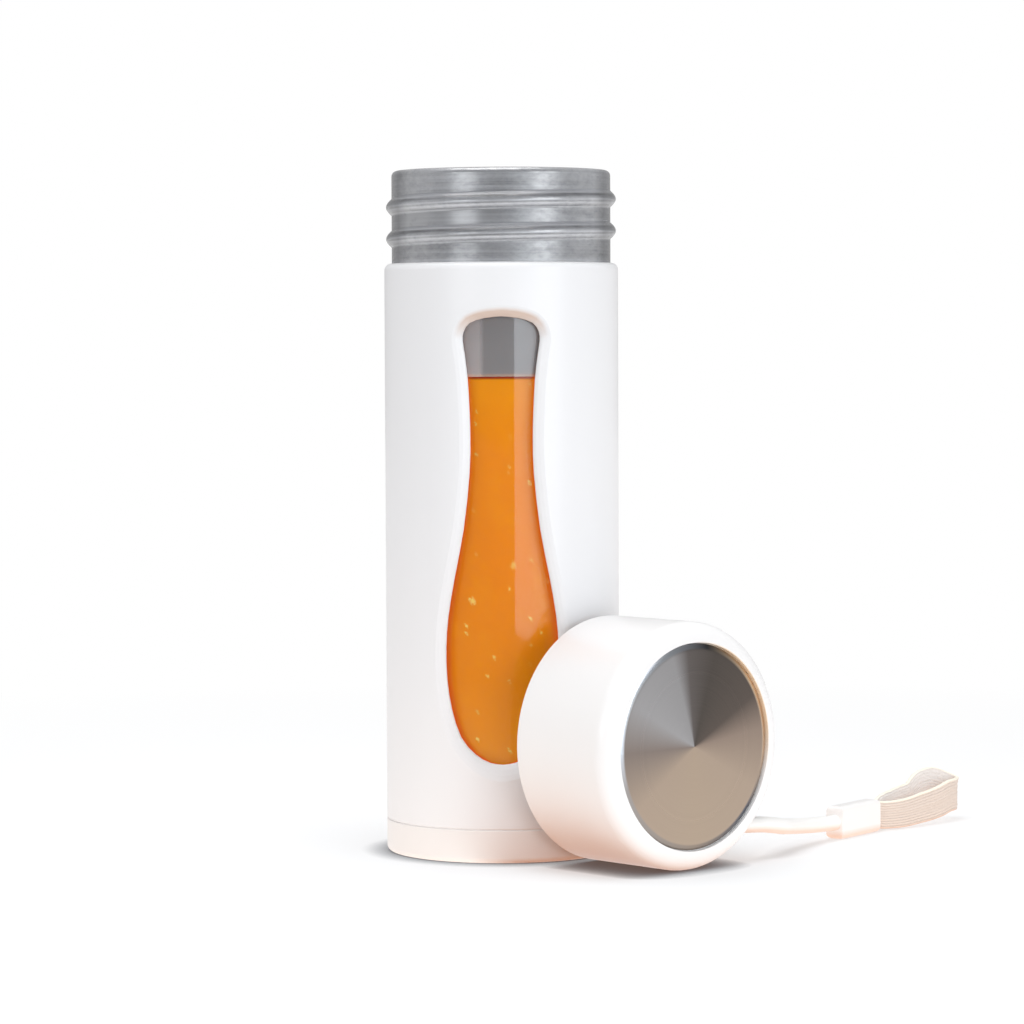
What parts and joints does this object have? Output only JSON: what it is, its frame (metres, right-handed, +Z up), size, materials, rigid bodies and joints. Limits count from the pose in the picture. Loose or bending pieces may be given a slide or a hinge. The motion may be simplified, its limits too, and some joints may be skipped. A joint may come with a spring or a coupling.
{
  "type": "glass bottle",
  "caption": "Drinking bottle with a glass vessel in a white window sleeve, a threaded mouth and its screw cap lying beside it on a strap.",
  "frame": {"origin": "centre of the bottle's underside, on the floor", "axes": "+Z up along the bottle's axis; the window faces -Y; the cap lies towards +X and -Y"},
  "size_m": [0.1754, 0.1402, 0.1978],
  "materials": {
    "smoke_glass": "clear, lightly smoked, polished",
    "orange_drink": "cloudy orange drink",
    "white_sleeve": "satin white",
    "white_base": "satin white",
    "silicone": "matt translucent white",
    "white_cap": "satin white",
    "white_liner": "matt white",
    "disc_steel": "spun in rings",
    "pin_steel": "drawn",
    "white_cord": "smooth, satin",
    "white_clamp": "satin white",
    "beige_band": "woven, lengthwise strands"
  },
  "bodies": {
    "bottle": {"glass_bottle": "smoke_glass", "drink": "orange_drink", "outer_sleeve": "white_sleeve", "neck_gasket": "silicone", "base_cup": "white_base", "base_pad": "silicone"},
    "cap": {"cap_shell": "white_cap", "cap_disc": "disc_steel", "cap_gasket": "silicone", "cap_inner_plate": "white_liner", "strap_pin": "pin_steel"},
    "strap": {"strap_cord": "white_cord", "strap_ferrule": "white_clamp", "strap_ribbon": "beige_band"}
  },
  "joints": [
    {"name": "cap_lift", "type": "slide", "parent": "bottle", "child": "cap", "axis": [0, 0, 1], "range_m": [0, 0.22]},
    {"name": "strap_swing", "type": "hinge", "parent": "cap", "child": "strap", "pos_m": [0.06319, -0.03555, 0.0105], "axis": [0.6769, -0.7361, 0], "range_deg": [0, 30]}
  ]
}
